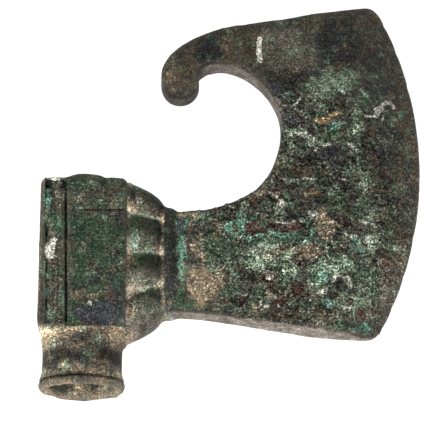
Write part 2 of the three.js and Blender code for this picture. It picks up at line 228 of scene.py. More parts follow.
# %% Patches on the front
# Each patch: middle X and Y, half width, half height, amount, and its turn in degrees where it has one.
PATCHES = {
    "brown": [
        (69.5, 160.5, 9.5, 11, 1.0), (44, 150, 9, 14, 0.8), (118, 174, 26, 6, 0.6, 8),
        (145, 110, 6, 55, 0.6, 2), (98, 100.5, 9, 3, 0.9), (124, 70, 4, 8, 0.3), (138, 60, 6, 22, 0.7, -14),
        (102.5, 90, 4, 2.5, 0.7, -15), (62, 74, 6, 5, 0.5), (48, 72, 4, 6, 0.5), (96, 33, 14, 3, 0.7),
        (81, 147, 3, 6, 0.7), (-11.5, 75, 2.6, 12, 0.5), (-12, 45, 3.4, 14, 0.6), (7, 86, 13, 6, 0.5),
        (27, 87, 5, 3, 0.7, -30),
    ],
    "black": [
        (55, 158.5, 5.5, 6.5, 1.1, 20), (92, 142.5, 10.5, 6.5, 1.0), (115, 163, 11, 11, 0.9),
        (108, 105, 11, 5.5, 0.9), (92, 125, 6, 4, 0.9), (136, 114, 8, 12, 0.7), (131, 140, 7, 8, 0.6),
        (8, 31.5, 10.5, 5, 1.0), (115, 76, 4, 4, 0.8), (113.8, 47.8, 2.7, 2.2, 1.1), (105, 35, 7, 3.5, 0.6),
        (66, 50, 4, 4, 0.5), (38.8, 56, 2.4, 18, 0.9), (-3.5, 84, 1.5, 8, 0.6),
    ],
    "green": [
        (43.3, 58, 2.2, 18, 0.8), (7, 68, 13, 10, 0.85), (5, 52, 12, 7, 0.6), (58, 66, 5.5, 9, 1.0),
        (112, 85.5, 6, 4.5, 1.0), (86, 66, 12, 5, 0.9, -5), (80, 56, 12, 5, 0.7, 10), (66.5, 45, 3, 4, 0.8),
        (112, 56, 12, 5, 0.8), (124, 95, 4, 14, 0.55), (109, 118, 6, 1.6, 0.9, 33), (108, 134, 9, 6, 0.55),
        (140, 94, 4, 4, 0.6), (17.6, 52, 1.6, 20, 0.9), (70, 64, 6, 5, 0.6), (90, 48, 8, 5, 0.6),
        (76, 42, 8, 4, 0.5), (120, 62, 6, 5, 0.5), (122, 52, 6, 8, 0.5), (50, 37, 8, 2, 0.5),
        (58, 79, 9, 2, 0.5, 8), (39, 80, 2, 3, 0.9), (43, 165, 5, 3, 0.5, 30), (92, 56, 4, 4, 0.7),
    ],
    "tan": [
        (51, 64, 3.2, 11, 0.75, 3), (54, 48, 8, 10, 0.85, 15), (108.3, 73.5, 4.8, 6, 1.0, 10),
        (100.5, 62, 5, 5, 0.75, 45), (83.5, 61, 4.5, 3, 0.9, 20), (75, 58, 4.5, 1.6, 0.7, 10),
        (102, 89.6, 3.5, 2, 0.8, -15), (59, 75, 3, 3, 0.5), (45, 80.2, 6, 1, 0.8, 3), (52, 38, 3, 2, 0.6),
        (96, 64, 5, 2, 0.6, 20), (42, 146, 6, 6, 0.4), (-13, 62, 2, 8, 0.4), (0, 40, 10, 3, 0.35),
        (129, 92, 5, 3, 0.5, -20),
    ],
    "dust": [
        (136, 45, 7, 14, 0.7, -20), (124, 36, 6, 6, 0.5), (130, 78, 6, 14, 0.5), (128, 170, 10, 7, 0.3),
        (7, 86, 13, 7, 0.5),
    ],
    "pale": [
        (112, 143, 11, 7, 0.75), (104, 136, 7, 5, 0.6, 30), (80, 60, 12, 6, 0.8, 8), (90, 53, 5, 5, 0.7),
        (112, 56, 11, 4, 0.85), (102, 46, 5, 4, 0.8), (122.5, 118, 2.4, 16, 0.75),
        (95, 118.5, 6, 2.4, 0.95, -12), (103.5, 113, 4, 2.4, 0.8, -40), (126, 92, 4, 5, 0.7),
        (128, 66, 4, 5, 0.8), (125, 77, 3, 3, 0.7), (116, 92, 4, 2, 0.5), (93, 160, 8, 7, 0.35),
        (86, 82, 3, 3, 0.5), (62, 62, 3, 3, 0.4), (119, 40, 8, 6, 0.6), (96, 95, 8, 1.6, 0.6),
        (44, 60, 2, 14, 0.5), (128, 105, 3, 6, 0.5), (138, 125, 4, 8, 0.35),
    ],
    "mint": [
        (115.6, 138.3, 2.4, 1.6, 1.2), (43.3, 62, 1.8, 15, 0.6, 2), (101.3, 72, 1.4, 3, 0.9),
        (99.2, 67.6, 2, 1.6, 1.0), (125, 28.8, 2.8, 1.5, 1.1), (98.7, 94, 1.8, 1.2, 1.1),
        (-15.2, 84, 1.3, 6, 0.9), (73.5, 68.5, 2, 1.4, 1.1), (69, 78, 2, 3, 0.9), (70.5, 72, 1.4, 4, 0.9),
        (65, 74, 2, 5, 0.6, 10), (112, 121, 2.6, 2.2, 0.8), (121, 64, 5, 4, 0.5), (106, 50, 5, 3, 0.6),
        (90, 69.5, 8, 1, 0.7, 4), (23, 66, 1.6, 5, 0.9), (44, 75.5, 2.4, 2.4, 1.0), (16, 45, 3, 4, 0.4),
        (108, 38, 2.4, 2, 0.7),
    ],
    "red": [
        (91.2, 74.2, 8, 2.2, 1.1, -6), (76.8, 73.2, 4.6, 2.6, 1.0, -12), (94.5, 45.1, 4.2, 3.2, 1.1, -20),
        (124, 36, 4, 4.5, 0.8), (71, 76, 1.2, 2, 0.9), (82.5, 50, 4, 3.6, 0.9),
        (86.5, 88.6, 4.4, 2.2, 0.9, -35), (63.5, 40, 2, 2.6, 0.8), (70.5, 40, 2.4, 2, 0.7),
        (87.2, 39.8, 2.8, 1.4, 0.9), (99, 88, 2, 1.6, 0.9), (88, 63, 3, 2, 0.8, 30), (76, 86, 3, 3, 0.5),
        (12, 37, 5, 3, 0.4), (69, 67, 1.6, 1.2, 0.8), (128, 33, 3, 3, 0.6),
    ],
    "white": [
        (133.4, 130.2, 2.0, 1.6, 1.2, 20), (88.3, 85.2, 2.6, 1.1, 1.1, -38),
        (84.5, 89.5, 2.6, 0.8, 0.9, -42), (102.3, 80, 2.4, 1.4, 1.1), (78.3, 38.1, 1.2, 0.9, 1.2),
        (80.6, 36.9, 1.0, 0.9, 1.2), (87, 37.3, 0.9, 0.8, 1.0), (-13.6, 61.6, 1.9, 5.4, 1.2),
        (-12.6, 92.0, 3.0, 1.8, 1.8, 20), (115.6, 138.4, 1.5, 1.1, 0.9), (4.1, 36.3, 0.9, 0.9, 1.0),
        (6.7, 36.8, 0.8, 0.8, 1.0), (108, 112, 2.6, 0.9, 1.0), (104, 111.3, 1.2, 0.7, 0.9),
        (119.4, 111.1, 1.5, 0.7, 0.8), (116.3, 36.9, 1.4, 1.2, 1.1), (104.6, 43, 1.6, 1.2, 1.1),
        (96, 118, 5, 1.2, 0.5, -12), (24, 85.5, 1.4, 2.2, 0.6, 20), (126.5, 67, 1.4, 1, 0.9, 30),
        (128.6, 64.5, 1.2, 0.9, 0.9), (82, 51, 1.8, 1.4, 0.8), (103.8, 109, 0.9, 0.8, 0.9),
        (125.4, 75.4, 2.2, 1, 0.8, -20),
    ],
    "blue": [
        (8, 31.5, 10.5, 4.5, 0.85), (43.4, 74.5, 1.8, 3.5, 0.9), (16, 40, 3, 6, 0.45),
        (-12.6, 92, 3, 1.8, 0.5, 20), (92, 125, 7, 6, 0.45), (108, 105, 10, 6, 0.4), (58, 130, 5, 6, 0.3),
        (84, 138, 6, 6, 0.45),
    ],
    "ochre": [
        (108.5, 124, 2.4, 1.2, 0.9, 20), (83, 60.5, 2, 1.4, 0.5, 20), (102.6, 90, 3, 1.6, 0.5, -15),
        (25, 88, 2, 1.4, 0.5), (107, 76, 3, 3, 0.4), (34, 63, 1.2, 1.6, 0.4), (35, 47, 1.2, 1.6, 0.4),
    ],
}
# Each stroke: half width, amount, and the points that it runs through.
STROKES = {
    "ochre": [
        (1.1, 1.1, [(104.4, 124.5), (107.2, 123.2), (110.0, 124.2), (110.9, 126.7), (114.5, 127.6)]),
    ],
    "white": [
        (1.0, 1.0, [(131.5, 126.4), (132.9, 129.4), (134.8, 133.0), (138.2, 134.2), (139.6, 131.6)]),
        (0.8, 0.9, [(126.3, 125.8), (131.5, 126.4)]), (0.6, 0.8, [(135, 127), (134.2, 124.6)]),
        (1.1, 0.6, [(99.9, 118.0), (103.1, 114.5), (104.6, 109.6)]),
        (0.6, 0.55, [(84.5, 76.6), (88.1, 75.9), (92.2, 75.6), (98.1, 76.4)]),
        (0.5, 0.6, [(94.6, 50.6), (96.6, 47.8), (99.0, 44.6)]),
        (0.9, 0.75, [(109.6, 47.0), (111.2, 50.2), (114.4, 50.9), (117.2, 49.2), (118.8, 46.0)]),
        (0.8, 0.6, [(115.0, 72.2), (117.4, 69.8), (121.0, 68.6)]),
        (1.2, 1.2, [(78.9, 164.5), (78.5, 160), (79.1, 154.2)]),
        (0.5, 0.6, [(79.4, 52.4), (81.6, 53.6), (84.6, 52.6), (86.0, 50.2)]),
        (0.5, 0.7, [(88, 133), (93, 131), (98, 136)]),
        (0.5, 0.7, [(88, 97), (92, 95.4), (98, 97), (104, 96)]),
        (0.5, 0.7, [(112, 97), (117, 95), (122, 97.4)]),
    ],
    "mint": [
        (0.9, 1.0, [(68.2, 79.6), (70.6, 77.1), (70.1, 72.3), (71.0, 69.8), (74.3, 68.4)]),
        (0.8, 1.0, [(70.6, 77.1), (74.0, 77.0), (77.2, 78.9)]),
        (0.7, 0.9, [(76.6, 70.0), (83.5, 71.4), (90.0, 70.0), (98, 69)]),
        (0.6, 0.9, [(99.5, 74), (101.5, 78.5)]),
        (0.9, 1.0, [(124.0, 138.6), (126.2, 137.2), (128.4, 134.4)]),
        (0.6, 0.8, [(104, 120.6), (110, 124.4)]),
    ],
    "tan": [
        (0.45, 0.9, [(-17.2, 93), (-18.7, 28)]), (0.7, 0.7, [(35.2, 82), (35.4, 60), (35.6, 38)]),
    ],
    "black": [
        # The stroke below is a painted shadow line along the blade's lower edge.
        (0.45, 1.0, [(43.8, 34.5), (60.6, 33.7), (85.5, 30.3), (100.2, 28.0), (116, 25.8)]),
        (0.3, 0.8, [(-4, 49.3), (8, 49.0), (17, 49.4)]), (0.5, 0.9, [(85, 74.0), (90, 77.6), (96, 78.4)]),
        (0.6, 0.9, [(74, 69), (84, 70), (96, 67.4)]),
    ],
    "red": [
        (0.35, 1.0, [(-2, 78.7), (8, 78.5), (17, 78.9)]),
    ],
}
# Darker and lighter areas, given in the same way. Below 0 is darker. The first is a painted shadow line along
# the blade's lower edge.
TONES = [
    (80, 32.2, 44, 1.1, -0.5, -5), (26.8, 27.6, 1.4, 3.0, -0.8, -30), (115, 163, 14, 13, -0.3),
    (92, 142, 12, 7, -0.4), (55, 158, 7, 8, -0.4), (137, 112, 10, 26, -0.15), (108, 105, 11, 6, -0.25),
    (94, 100, 8, 4, -0.15), (91, 74.5, 8, 2.5, -0.3, -8), (76, 74, 4.5, 3, -0.2, -10),
    (94, 45, 4.5, 3.5, -0.35), (114, 48, 3, 2.5, -0.5), (104, 34, 10, 4, -0.2), (58, 68, 6, 8, -0.15),
    (66, 41, 6, 4, -0.2), (88, 34.5, 8, 2, -0.3), (80, 60, 14, 9, 0.4, 5), (54, 48, 8, 10, 0.35),
    (112, 56, 12, 6, 0.3), (111, 143, 11, 7, 0.15), (97, 116, 8, 4, 0.3, -25), (108, 74, 5, 6, 0.3),
    (123, 115, 3, 18, 0.2), (127, 70, 5, 12, 0.3), (103, 46, 6, 5, 0.3), (86, 88, 5, 5, 0.2, -40),
    (50, 70, 5, 8, 0.2), (135, 48, 8, 16, 0.2, -20), (92, 160, 12, 9, 0.1), (7, 66, 12, 10, -0.1),
]


def oval(points, x, y, half_width, half_height, amount, degrees=0):
    """The amount inside the oval, falling to 0 just outside it."""
    cos, sin = math.cos(math.radians(degrees)), math.sin(math.radians(degrees))
    across, up = points[:, 0] - x, points[:, 1] - y
    along = (across * cos + up * sin) / half_width
    beside = (up * cos - across * sin) / half_height
    return amount * ramp(np.hypot(along, beside), 1.45, 0.55)


def stroke(points, half_width, amount, path):
    """The amount along a bent line through the path's points."""
    nearest = np.full(len(points), 1e9)
    for start, end in zip(path, path[1:]):
        start, step = np.array(start), np.array(end) - np.array(start)
        share = np.clip((points[:, :2] - start) @ step / (step @ step), 0, 1)
        nearest = np.minimum(nearest, np.hypot(*(points[:, :2] - start - share[:, None] * step).T))
    return amount * ramp(nearest, 1.5 * half_width, 0.4 * half_width)


def named_places(points, bent, front):
    """Each finish's mask from its patches and strokes."""
    masks = {}
    for finish, patches in PATCHES.items():
        mask = np.zeros(len(points))
        for patch in patches:
            mask = np.maximum(mask, oval(bent, *patch))
        for line in STROKES.get(finish, []):
            mask = np.maximum(mask, stroke(0.35 * bent + 0.65 * points, *line))
        masks[finish] = mask * front
    return masks


# %% The lobes of the collar
# Middle, half height and darkness of each lobe's painted shade. They fan out from the neck towards the box.
LOBES = [(84.4, 6.9, 1.0), (70.5, 8.7, 1.0), (54.0, 8.6, 1.0), (37.0, 9.6, 0.3)]
COLLAR_MIDDLE, COLLAR_HALF = 27.9, 7.0
FAN, FAN_FROM, FAN_MIDDLE = 0.0165, 29.4, 60
RIB_LEFT, RIB_RIGHT = (35.6, 36.4), (41.4, 40.6)


def collar_places(x, y):
    """Four numbers: height on the nearest lobe, share along the collar, inside a lobe, darkness of painted
    shade.

    The height is -1 and 1 in the valleys below and above the lobe."""
    fan = 1 + FAN * (FAN_FROM - x)
    height, darkness = np.full(len(x), 1e9), np.zeros(len(x))
    for middle, half, dark in LOBES:
        other = (y - FAN_MIDDLE - (middle - FAN_MIDDLE) * fan) / (half * fan)
        nearer = np.abs(other) < np.abs(height)
        height, darkness = np.where(nearer, other, height), np.where(nearer, dark, darkness)
    along = (x - COLLAR_MIDDLE) / COLLAR_HALF
    inside = ramp((np.abs(height) ** 2.4 + np.abs(along) ** 3.2) ** (1 / 2.4), 1.08, 0.9)
    return height, np.clip(along, -1, 1), inside, darkness


# %% Zones of the casting
def zones(points, normals):
    """Where a vertex is, as numbers from 0 to 1, apart from along, which goes from -1 to 1."""
    x, y = points.T[:2]
    blade = np.maximum(ramp(x, 40.8, 41.6), ramp(y, 97.4, 98))
    zone = {"front": ramp(normals[:, 2], -0.1, 0.35), "blade": blade}
    zone["socket"] = (1 - ramp(x, 19.2, 19.8)) * (1 - blade)
    zone["collar"] = (1 - blade) * (1 - zone["socket"])
    zone["tube"] = zone["socket"] * ramp(y, 26.4, 25.6)
    zone["box"] = zone["socket"] - zone["tube"]
    zone["down"] = ramp(-normals[:, 1], 0.05, 0.6)
    zone["wall"] = blade * ramp(np.abs(normals[:, 2]), 0.8, 0.45)
    zone["arm"] = blade * ramp(x, 56, 50) * ramp(y, 120, 125)
    zone["heart"] = blade * ramp(np.hypot((x - 96) / 54, (y - 80) / 72), 1.08, 0.66)
    zone["side"] = ramp(np.abs(x), 5, 15)
    height, zone["along"], zone["inside"], darkness = collar_places(x, y)
    # The painted shade on the upper half of each lobe.
    zone["shadow"] = zone["inside"] * ramp(height, -0.5, 0.2) * ramp(height, 0.9, 0.7) * darkness
    zone["lobed"] = zone["collar"] * ramp(x, *RIB_LEFT[::-1])
    return zone


def crust_mask(points, zone):
    """How thick the crust is, from 0 to 1."""
    thick = zone["heart"] * (0.85 + 0.35 * cloud(points, 10, 42))
    elsewhere = 0.25 * zone["tube"] + 0.15 * zone["collar"] + 0.2 * zone["box"]
    thick += elsewhere + 0.15 * zone["blade"] * (1 - zone["heart"])
    return np.clip(thick, 0.06, 1) * (1 - 0.8 * zone["wall"])


# %% General levels
# The dusty rectangle near the blade's top: left, right, bottom and top.
DUSTY_LABEL = (79.9, 105.4, 148.6, 169.8)


def in_label(bent):
    """1 in the dusty rectangle."""
    left, right, bottom, top = DUSTY_LABEL
    across = ramp(bent[:, 0], left - 1, left) * ramp(bent[:, 0], right + 0.7, right - 0.7)
    return across * ramp(bent[:, 1], bottom - 1, bottom + 0.6) * ramp(bent[:, 1], top + 0.7, top - 0.7)


def general_levels(points, normals, zone, label, wide, middle, other):
    """How much there is of each finish away from the named places, as pairs of finish and level."""
    x, y = points.T[:2]
    heart, box, tube, collar = zone["heart"], zone["box"], zone["tube"], zone["collar"]
    along, lobed, shadow = zone["along"], zone["lobed"], zone["shadow"]
    # shadow is the lobes' painted shade and glow their painted light: green and black follow one, pale and
    # tan the other.
    glow = 1 - shadow
    right_face = ramp(normals[:, 0], 0.4, 0.7) * ramp(np.abs(x - 19.5), 1.2, 0.6)
    return [
        ("green", heart * (0.3 + 0.2 * wide + 0.1 * middle) + box * (0.42 + 0.1 * wide) + 0.1),
        ("green", collar * (0.25 + 0.4 * shadow + 0.2 * shadow * ramp(along, 0.4, -0.4))),
        ("brown", 0.3 + 0.2 * other - 0.1 * heart),
        ("brown", right_face * 0.95 * ramp(y, 97, 95)),
        ("black", 0.22 - 0.2 * wide + 0.12 * other - 0.15 * tube),
        ("black", collar * 0.35 * shadow),
        ("black", (collar - lobed) * 0.6),
        ("pale", heart * (0.2 + 0.16 * middle) + box * 0.1 + tube * (0.12 + 0.1 * middle)),
        ("pale", lobed * (0.05 + 0.25 * zone["inside"] * glow)),
        ("tan", heart * (0.1 - 0.14 * middle) + 0.1 * box),
        # On the tube's upper sides, tan is partly painted light.
        ("tan", tube * (0.36 + 0.45 * zone["side"] * ramp(y, 16, 18) + 0.3 * ramp(y, 8, 6) + 0.15 * other)),
        ("tan", lobed * (0.1 + 0.45 * glow * ramp(np.abs(along), 0.3, 0.9))),
        ("red", heart * (0.12 + 0.1 * other) + 0.06),
        ("mint", heart * (0.06 + 0.12 * middle) * ramp(y, 115, 80)),
        ("white", heart * (0.05 + 0.08 * other)),
        ("dust", zone["front"] * label * (0.75 + 0.25 * ramp(x, 90, 94))),
        ("dust", 0.2 * zone["blade"] * (1 - heart) * (1 - label) * (1 + 0.6 * other)),
    ]


# %% [markdown]
# ## Light and dark by place
#
# Under the colours lies a tone, lighter or darker by place, and much of it is painted light and shade. On the
# collar it follows the lobes, with painted light in the valleys between them and painted shade on the upper
# half of each lobe. On the tube it goes in level bands, and in the channel in upright streaks.

# %% Tone of collar, tube and box
# Level bands on the tube: middle, width and amount. The dark one at 4.1 is painted shade in the mouth's
# groove.
TUBE_BANDS = [(7.4, 2.2, 0.9), (4.1, 0.6, -1.5), (23, 1.2, 0.35), (14.7, 2.4, -0.5)]
# The box's lower edge on the front: how high it is on the left, its rise, and its left end and width.
BOX_EDGE, BOX_EDGE_RISE = 24.8, 2.0
BOX_LEFT, BOX_WIDTH = -18.9, 38.4


def band(value, middle, width):
    """1 where the value is at the middle, falling softly to 0 on either side."""
    return np.exp(-(((value - middle) / width) ** 2))


def collar_tone(points, zone):
    """Painted light in the valleys, painted shade on each lobe's upper half, lighter towards the box."""
    x, y = points.T[:2]
    height, along, inside, darkness = collar_places(x, y)
    valley = band(np.abs(height), 0.96, 0.28) * ramp(y, 33, 38) * ramp(y, 88, 84)
    body = (-0.6 - 0.7 * band(height, 0, 0.3)) * ramp(height, 0.85, 0.6) * darkness
    light_end = (1 - inside) * ramp(along, 0.6, 0.9)
    lobes = 0.3 + 1.6 * valley + body + 0.2 * ramp(height, 0.6, 0.85) - 0.8 * along + 0.9 * light_end
    lobes = lobes - 0.3 * ramp(y, 34, 27) - 0.35 * zone["down"] * ramp(y, 46, 40)
    rib = -0.5 + 0.9 * ramp(y, 62, 50) + 0.4 * ramp(y, 46, 38) - 0.3 * ramp(y, 62, 70)
    on_rib = zone["collar"] * ramp(x, *RIB_LEFT) * ramp(x, *RIB_RIGHT)
    return (zone["collar"] - on_rib) * lobes + on_rib * rib


def tube_tone(points, zone):
    """Bands and a thin crack round the tube, painted light on its sides and in the mouth, dark on the right
    above the bead.
    """
    x, y, z = points.T
    right = ramp(x, 5, 13) * ramp(y, 10.5, 12) * ramp(y, 28, 24)
    tone = 0.55 * zone["side"] * ramp(y, 15, 19) - 1.0 * right - 0.35 * ramp(y, 5.0, 4.0)
    tone += sum(amount * band(y, middle, width) for middle, width, amount in TUBE_BANDS)
    tone += 0.2 * ramp(y, 18, 22) - 0.8 * band(y - 0.03 * x, 12.2, 0.3)
    return zone["tube"] * (tone + 0.5 * ramp(np.hypot(x, z), 16.6, 15.6) * ramp(y, 3, 1))


def box_tone(points, zone):
    """Painted highlight and shadow lines along the box's lower edge, and a painted shadow line down its right
    edge.
    """
    x, y = points.T[:2]
    above_edge = y - (BOX_EDGE + BOX_EDGE_RISE * (x - BOX_LEFT) / BOX_WIDTH)
    lines = 0.5 * band(above_edge, -0.8, 0.7) - 0.7 * band(above_edge, 0.5, 0.5)
    return zone["front"] * (zone["socket"] * lines - 0.5 * zone["box"] * band(x, 19.0, 0.5))


# %% Tone of the blade and the channel
def blade_tone(points, zone, wide):
    """Lighter low on the blade and along its edge, with painted shade under the arm, darker on walls that
    face down.
    """
    x, y = points.T[:2]
    tone = 0.25 * ramp(y, 84, 72) + 0.1 + 0.15 * wide
    tone = tone * zone["heart"] - 0.12 * zone["blade"] * ramp(y, 140, 150)
    tone += 0.2 * zone["blade"] * (ramp(x, 138, 144) * ramp(y, 150, 130) + ramp(x, 60, 50) * ramp(y, 90, 80))
    return tone + zone["arm"] * (0.2 - 0.75 * zone["down"]) - 0.5 * zone["wall"] * zone["down"]


def channel_tone(points, channel):
    """Upright streaks in the channel, lighter towards its foot."""
    streak = cloud(points * np.array([1, 0.06, 1]), 0.8, 64, 2)
    return channel * (0.5 + 0.4 * ramp(points[:, 1], 42, 28) + 0.9 * streak)


# %% All masks together
OUTLINE_WOBBLE = 1.5
# How far a named place holds back the general levels.
HOLDS_BACK = 0.65
# Slots between the slats, painted dark as shade: distance from the channel's left side, width and amount.
SLOTS = [(0.3, 0.3, 0.7), (7.5, 0.3, 0.6), (9.2, 0.6, 0.9)]


def painted(mesh):
    """All masks on a mesh, as arrays with one number for each vertex."""
    points, normals = in_casting(mesh)
    x, y, z = points.T
    zone = zones(points, normals)
    bent = points.copy()
    bent[:, 0] += OUTLINE_WOBBLE * cloud(points, 4, 31)
    bent[:, 1] += OUTLINE_WOBBLE * cloud(points, 4, 32)
    wide, middle, other = cloud(points, 26, 41), cloud(points, 10, 42), cloud(points, 14, 43)
    masks = named_places(points, bent, zone["front"])
    quiet = 1 - HOLDS_BACK * np.max(list(masks.values()), axis=0)
    label = in_label(bent)
    for finish, level in general_levels(points, normals, zone, label, wide, middle, other):
        masks[finish] = np.maximum(masks[finish], level * quiet)
    for finish in ("green", "red", "mint", "black"):
        masks[finish] *= 1 - label
    # Bare metal on walls, more where they face down, as painted light too; on the lit part of the lobes,
    # painted light.
    bare_wall = zone["wall"] * (0.35 + 0.65 * zone["down"]) * (1 - zone["arm"])
    masks["bare"] = np.maximum(bare_wall, 0.45 * zone["lobed"] * (1 - zone["shadow"]))
    masks["crust"] = crust_mask(points, zone)
    # A painted shadow line where the blade's front face turns down into a wall.
    masks["edge_shadow"] = zone["blade"] * band(normals[:, 2], 0.6, 0.2) * zone["down"]
    # The channel's deep parts and the slots between its slats get painted shade.
    channel, from_left = channel_zone(points)
    slots = np.minimum(sum(amount * band(from_left, place, width) for place, width, amount in SLOTS), 1)
    masks["gap"] = channel * np.maximum(ramp(z, 16.6, 16.0), slots) * (1 - masks["white"])
    margin = zone["blade"] * ramp(x, 124, 134) * ramp(y, 135, 120)
    grainy = 0.45 * zone["box"] + 0.35 * zone["tube"] + 0.3 * zone["collar"]
    masks["grain"] = np.maximum(np.maximum(masks["crust"], grainy), 0.5 * margin)
    tone = sum(oval(bent, *patch) for patch in TONES) * zone["front"]
    tone += collar_tone(points, zone) + tube_tone(points, zone) + box_tone(points, zone)
    tone += blade_tone(points, zone, wide) + channel_tone(points, channel)
    tone += 0.4 * masks["white"] * ramp(y, 145, 150) - 0.15 * masks["grain"] - 0.1 * zone["box"]
    masks["tone"] = np.clip(0.5 + 0.25 * tone, 0, 1)
    return {finish: np.clip(mask, 0, 1) for finish, mask in masks.items()}


# %% The crust, stored on the mesh
def keep_masks(mesh, masks):
    for name, values in masks.items():
        attribute = mesh.attributes.get(name) or mesh.attributes.new(name, "FLOAT", "POINT")
        attribute.data.foreach_set("value", values.astype(np.float32))


points, normals = in_casting(axe.data)
crust = crust_mask(points, zones(points, normals))
keep_masks(axe.data, {"crust": crust})
tell("crust covers", round(100 * (crust > 0.5).mean()), "% of the skin")

# %% [markdown]
# ## Nodules of verdigris
#
# Where the crust is thick, small warts of verdigris stand up from it. They repeat in their hundreds, each a
# little different, so Geometry Nodes scatter them: points on the faces, denser where the crust mask is high,
# and a small low-count sphere on each, pressed flat and turned with the surface. Another voxel remesh then
# fuses warts and metal into one skin, as they have grown together.

# %% Helpers for node trees
def new_node(tree, kind, links=None, **settings):
    """A node with its settings. links gives each input a value, or the output socket that feeds it."""
    node = tree.nodes.new(kind)
    for key, value in settings.items():
        setattr(node, key, value)
    for name, source in (links or {}).items():
        if isinstance(source, bpy.types.NodeSocket):
            tree.links.new(source, node.inputs[name])
        else:
            node.inputs[name].default_value = source
    return node


def maths(tree, operation, first, second=0.0):
    return new_node(tree, "ShaderNodeMath", {0: first, 1: second}, operation=operation).outputs[0]


def plus(tree, first, second):
    return maths(tree, "ADD", first, second)


def minus(tree, first, second):
    return maths(tree, "SUBTRACT", first, second)


def times(tree, first, second):
    return maths(tree, "MULTIPLY", first, second)


def remap(tree, value, low, high, to_low=0.0, to_high=1.0, smooth=False):
    kind = "SMOOTHSTEP" if smooth else "LINEAR"
    links = {"Value": value, "From Min": low, "From Max": high, "To Min": to_low, "To Max": to_high}
    return new_node(tree, "ShaderNodeMapRange", links, interpolation_type=kind).outputs[0]


def new_tree(name, kind, inputs, output):
    """A node group with named inputs (name, kind, default) and one output (name, kind)."""
    tree = bpy.data.node_groups.new(name, kind)
    label, what = output
    tree.interface.new_socket(label, in_out="OUTPUT", socket_type="NodeSocket" + what)
    for label, what, default in inputs:
        socket = tree.interface.new_socket(label, in_out="INPUT", socket_type="NodeSocket" + what)
        if default is not None:
            socket.default_value = default
    return tree, tree.nodes.new("NodeGroupInput").outputs, tree.nodes.new("NodeGroupOutput").inputs


def stored(tree, name):
    """A mask that is stored on the mesh."""
    return new_node(tree, "GeometryNodeInputNamedAttribute", {"Name": name}, data_type="FLOAT").outputs[0]


def end_tree(tree, geometry, material, result):
    """The end of a geometry tree: instances made real, and the material set."""
    real = new_node(tree, "GeometryNodeRealizeInstances", {"Geometry": geometry}).outputs[0]
    dressed = new_node(tree, "GeometryNodeSetMaterial", {"Geometry": real, "Material": material})
    tree.links.new(dressed.outputs[0], result["Geometry"])


def mesh_after_nodes(thing, tree, **values):
    """The thing's mesh after a Geometry Nodes tree, its inputs set by name."""
    modifier = thing.modifiers.new(tree.name, "NODES")
    modifier.node_group = tree
    for item in tree.interface.items_tree:
        if item.in_out == "INPUT" and item.name in values:
            modifier[item.identifier] = values[item.name]
    return applied(thing, modifier)


# %% The nodule tree
def nodule_tree():
    inputs = [("Geometry", "Geometry", None), ("Density", "Float", 1e5), ("Smallest", "Float", 0.0004),
              ("Largest", "Float", 0.0012), ("Flatness", "Float", 0.5), ("Seed", "Int", 4),
              ("Material", "Material", None)]
    output = ("Geometry", "Geometry")
    tree, given, result = new_tree("Verdigris nodules", "GeometryNodeTree", inputs, output)
    density = times(tree, given["Density"], stored(tree, "crust"))
    scatter = new_node(tree, "GeometryNodeDistributePointsOnFaces",
                       {"Mesh": given["Geometry"], "Density": density, "Seed": given["Seed"]}).outputs
    chance = new_node(tree, "FunctionNodeRandomValue", {"Seed": given["Seed"]}, data_type="FLOAT").outputs[1]
    size = remap(tree, maths(tree, "POWER", chance, 3.0), 0.0, 1.0, given["Smallest"], given["Largest"])
    scale = new_node(tree, "ShaderNodeCombineXYZ",
                     {"X": size, "Y": size, "Z": times(tree, size, given["Flatness"])}).outputs[0]
    wart = new_node(tree, "GeometryNodeMeshIcoSphere", {"Radius": 1.0, "Subdivisions": 2}).outputs["Mesh"]
    warts = new_node(tree, "GeometryNodeInstanceOnPoints",
                     {"Points": scatter["Points"], "Instance": wart, "Rotation": scatter["Rotation"],
                      "Scale": scale}).outputs[0]
    both = new_node(tree, "GeometryNodeJoinGeometry")
    tree.links.new(given["Geometry"], both.inputs[0])
    tree.links.new(warts, both.inputs[0])
    end_tree(tree, both.outputs[0], given["Material"], result)
    return tree


VERTICES_OF_A_WART = 42
patina = bpy.data.materials.new("bronze_patina")
before = len(axe.data.vertices)
axe.data = mesh_after_nodes(axe, nodule_tree(), Density=9e4, Smallest=0.0004, Largest=0.0012, Flatness=0.5,
                            Seed=4, Material=patina)
tell("nodules:", (len(axe.data.vertices) - before) // VERTICES_OF_A_WART)

# %% Fuse the nodules with the metal
FUSING_ANGLE = math.radians(40)

axe.data = mesh_after(axe, "REMESH", mode="VOXEL", voxel_size=SKIN_VOXEL, adaptivity=0)
in_channel, _ = channel_zone(in_casting(axe.data)[0])
melt(axe.data, rounds=2, angle=FUSING_ANGLE, free=1 - in_channel)
tell("fused skin:", len(axe.data.vertices), "vertices")

# %% [markdown]
# ## Crust, plates and pits
#
# The crust has grown in plates: flat flakes with slightly raised rims and ragged gaps between them. One noise
# field gives these: above a threshold is plate, the band around it is rim, and below it is gap. Others give
# shallow pits, creases and thin raised veins. The same nodes work in a geometry tree and in a material, so
# small functions build them in either, and the colours follow the relief.

# %% Patterns shared by relief and colour
PLATE_SIZE = 0.0062
PIT_SIZE = 0.0021


